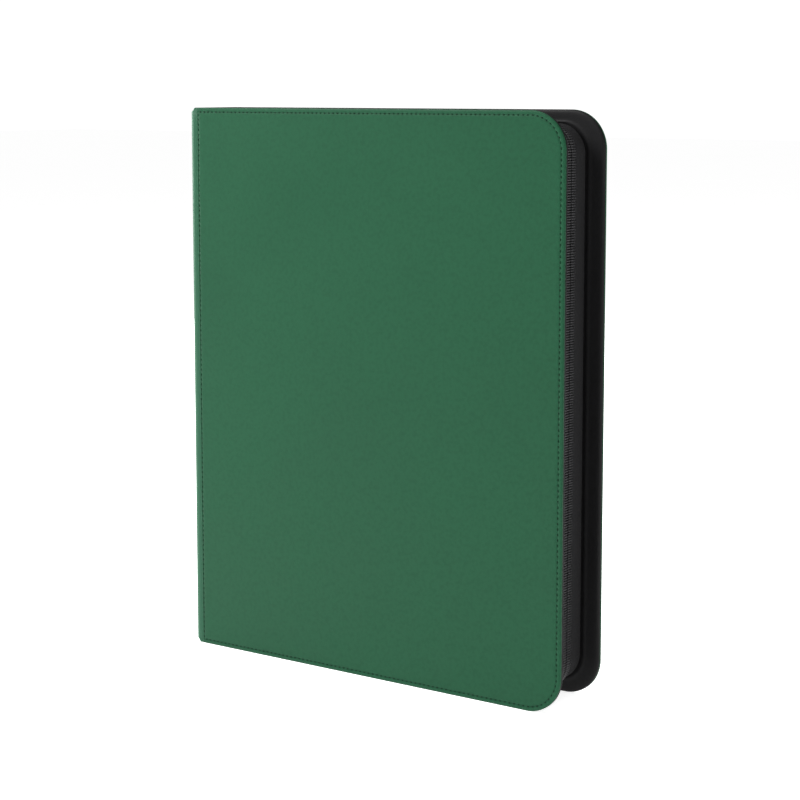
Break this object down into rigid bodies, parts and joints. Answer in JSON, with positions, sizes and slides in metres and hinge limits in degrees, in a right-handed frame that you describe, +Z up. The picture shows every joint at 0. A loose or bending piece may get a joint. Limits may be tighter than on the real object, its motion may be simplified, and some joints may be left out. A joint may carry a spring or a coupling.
{
  "type": "trading card binder",
  "caption": "Zip-up binder for trading cards, with padded leather covers round a spine, bound pocket leaves that fan open with the covers, and a zip along the top, fore edge and foot.",
  "frame": {"origin": "middle of the foot: centre of the bounding box's base, on the surface it stands on", "axes": "+Z up along the spine, +X from the spine to the fore edge, -Y out of the front cover"},
  "size_m": [0.278, 0.0486, 0.35],
  "materials": {
    "green_leather": "matte, fine grain",
    "black_leather": "satin, fine grain",
    "foam": "matte",
    "board": "matte, pressed",
    "zip_tape": "woven, matte",
    "zip_coil": "satin",
    "zip_metal": "satin black",
    "pull_rubber": "matte",
    "page_sheet": "fine pebble",
    "clear_film": "clear film",
    "thread": "twisted thread"
  },
  "bodies": {
    "spine": {"spine_skin": "green_leather", "spine_board": "board", "spine_lining": "black_leather", "page_binding": "page_sheet", "zip_tail_top": "zip_tape", "zip_tail_bottom": "zip_tape", "zip_stop_top": "zip_metal", "zip_stop_bottom": "zip_metal"},
    "front_cover": {"front_skin": "green_leather", "front_foam": "foam", "front_board": "board", "front_lining": "black_leather", "front_zip_tape": "zip_tape", "front_zip_coil": "zip_coil"},
    "back_cover": {"back_skin": "green_leather", "back_foam": "foam", "back_board": "board", "back_lining": "black_leather", "back_zip_tape": "zip_tape", "back_zip_coil": "zip_coil"},
    "page_01": {"page_01": "page_sheet"},
    "page_02": {"page_02": "page_sheet"},
    "page_03": {"page_03": "page_sheet"},
    "page_04": {"page_04": "page_sheet"},
    "page_05": {"page_05": "page_sheet"},
    "page_06": {"page_06": "page_sheet"},
    "page_07": {"page_07": "page_sheet"},
    "page_08": {"page_08": "page_sheet"},
    "page_09": {"page_09": "page_sheet"},
    "page_10": {"page_10": "page_sheet"},
    "page_11": {"page_11": "page_sheet"},
    "page_12": {"page_12": "page_sheet"},
    "page_13": {"page_13": "page_sheet"},
    "page_14": {"page_14": "page_sheet"},
    "page_15": {"page_15": "page_sheet"},
    "page_16": {"page_16": "page_sheet"},
    "page_17": {"page_17": "page_sheet"},
    "page_18": {"page_18": "page_sheet"},
    "page_19": {"page_19": "page_sheet"},
    "page_20": {"page_20": "page_sheet"},
    "zip_slider": {"slider_body": "zip_metal"},
    "zip_pull": {"pull_link": "zip_metal", "pull_grip": "pull_rubber"}
  },
  "joints": [
    {"name": "front_cover_hinge", "type": "hinge", "parent": "spine", "child": "front_cover", "pos_m": [-0.1335, -0.0239, 0.175], "axis": [0, 0, -1], "range_deg": [0, 90]},
    {"name": "back_cover_hinge", "type": "hinge", "parent": "spine", "child": "back_cover", "pos_m": [-0.1335, 0.0239, 0.175], "axis": [0, 0, 1], "range_deg": [0, 90]},
    {"name": "page_01_hinge", "type": "hinge", "parent": "spine", "child": "page_01", "pos_m": [-0.13, -0.01758, 0.175], "axis": [0, 0, -1], "range_deg": [0, 72]},
    {"name": "page_02_hinge", "type": "hinge", "parent": "spine", "child": "page_02", "pos_m": [-0.12885, -0.01572, 0.175], "axis": [0, 0, -1], "range_deg": [0, 64.8]},
    {"name": "page_03_hinge", "type": "hinge", "parent": "spine", "child": "page_03", "pos_m": [-0.1277, -0.01388, 0.175], "axis": [0, 0, -1], "range_deg": [0, 57.6]},
    {"name": "page_04_hinge", "type": "hinge", "parent": "spine", "child": "page_04", "pos_m": [-0.12655, -0.01202, 0.175], "axis": [0, 0, -1], "range_deg": [0, 50.4]},
    {"name": "page_05_hinge", "type": "hinge", "parent": "spine", "child": "page_05", "pos_m": [-0.1254, -0.01018, 0.175], "axis": [0, 0, -1], "range_deg": [0, 43.2]},
    {"name": "page_06_hinge", "type": "hinge", "parent": "spine", "child": "page_06", "pos_m": [-0.12425, -0.00833, 0.175], "axis": [0, 0, -1], "range_deg": [0, 36]},
    {"name": "page_07_hinge", "type": "hinge", "parent": "spine", "child": "page_07", "pos_m": [-0.1231, -0.00647, 0.175], "axis": [0, 0, -1], "range_deg": [0, 28.8]},
    {"name": "page_08_hinge", "type": "hinge", "parent": "spine", "child": "page_08", "pos_m": [-0.12195, -0.00462, 0.175], "axis": [0, 0, -1], "range_deg": [0, 21.6]},
    {"name": "page_09_hinge", "type": "hinge", "parent": "spine", "child": "page_09", "pos_m": [-0.1208, -0.00278, 0.175], "axis": [0, 0, -1], "range_deg": [0, 14.4]},
    {"name": "page_10_hinge", "type": "hinge", "parent": "spine", "child": "page_10", "pos_m": [-0.11965, -0.00093, 0.175], "axis": [0, 0, -1], "range_deg": [0, 7.2]},
    {"name": "page_11_hinge", "type": "hinge", "parent": "spine", "child": "page_11", "pos_m": [-0.11965, 0.00093, 0.175], "axis": [0, 0, 1], "range_deg": [0, 7.2]},
    {"name": "page_12_hinge", "type": "hinge", "parent": "spine", "child": "page_12", "pos_m": [-0.1208, 0.00278, 0.175], "axis": [0, 0, 1], "range_deg": [0, 14.4]},
    {"name": "page_13_hinge", "type": "hinge", "parent": "spine", "child": "page_13", "pos_m": [-0.12195, 0.00462, 0.175], "axis": [0, 0, 1], "range_deg": [0, 21.6]},
    {"name": "page_14_hinge", "type": "hinge", "parent": "spine", "child": "page_14", "pos_m": [-0.1231, 0.00647, 0.175], "axis": [0, 0, 1], "range_deg": [0, 28.8]},
    {"name": "page_15_hinge", "type": "hinge", "parent": "spine", "child": "page_15", "pos_m": [-0.12425, 0.00833, 0.175], "axis": [0, 0, 1], "range_deg": [0, 36]},
    {"name": "page_16_hinge", "type": "hinge", "parent": "spine", "child": "page_16", "pos_m": [-0.1254, 0.01018, 0.175], "axis": [0, 0, 1], "range_deg": [0, 43.2]},
    {"name": "page_17_hinge", "type": "hinge", "parent": "spine", "child": "page_17", "pos_m": [-0.12655, 0.01202, 0.175], "axis": [0, 0, 1], "range_deg": [0, 50.4]},
    {"name": "page_18_hinge", "type": "hinge", "parent": "spine", "child": "page_18", "pos_m": [-0.1277, 0.01388, 0.175], "axis": [0, 0, 1], "range_deg": [0, 57.6]},
    {"name": "page_19_hinge", "type": "hinge", "parent": "spine", "child": "page_19", "pos_m": [-0.12885, 0.01572, 0.175], "axis": [0, 0, 1], "range_deg": [0, 64.8]},
    {"name": "page_20_hinge", "type": "hinge", "parent": "spine", "child": "page_20", "pos_m": [-0.13, 0.01758, 0.175], "axis": [0, 0, 1], "range_deg": [0, 72]},
    {"name": "zip_slide", "type": "slide", "parent": "spine", "child": "zip_slider", "axis": [1, 0, 0], "range_m": [0, 0.23]},
    {"name": "pull_hinge", "type": "hinge", "parent": "zip_slider", "child": "zip_pull", "pos_m": [-0.1276, 0, 0.34675], "axis": [0, -1, 0], "range_deg": [0, 115]}
  ],
  "couplings": [
    {"joint": "page_01_hinge", "follows": "front_cover_hinge", "ratio": 0.8},
    {"joint": "page_02_hinge", "follows": "front_cover_hinge", "ratio": 0.72},
    {"joint": "page_03_hinge", "follows": "front_cover_hinge", "ratio": 0.64},
    {"joint": "page_04_hinge", "follows": "front_cover_hinge", "ratio": 0.56},
    {"joint": "page_05_hinge", "follows": "front_cover_hinge", "ratio": 0.48},
    {"joint": "page_06_hinge", "follows": "front_cover_hinge", "ratio": 0.4},
    {"joint": "page_07_hinge", "follows": "front_cover_hinge", "ratio": 0.32},
    {"joint": "page_08_hinge", "follows": "front_cover_hinge", "ratio": 0.24},
    {"joint": "page_09_hinge", "follows": "front_cover_hinge", "ratio": 0.16},
    {"joint": "page_10_hinge", "follows": "front_cover_hinge", "ratio": 0.08},
    {"joint": "page_11_hinge", "follows": "back_cover_hinge", "ratio": 0.08},
    {"joint": "page_12_hinge", "follows": "back_cover_hinge", "ratio": 0.16},
    {"joint": "page_13_hinge", "follows": "back_cover_hinge", "ratio": 0.24},
    {"joint": "page_14_hinge", "follows": "back_cover_hinge", "ratio": 0.32},
    {"joint": "page_15_hinge", "follows": "back_cover_hinge", "ratio": 0.4},
    {"joint": "page_16_hinge", "follows": "back_cover_hinge", "ratio": 0.48},
    {"joint": "page_17_hinge", "follows": "back_cover_hinge", "ratio": 0.56},
    {"joint": "page_18_hinge", "follows": "back_cover_hinge", "ratio": 0.64},
    {"joint": "page_19_hinge", "follows": "back_cover_hinge", "ratio": 0.72},
    {"joint": "page_20_hinge", "follows": "back_cover_hinge", "ratio": 0.8}
  ]
}
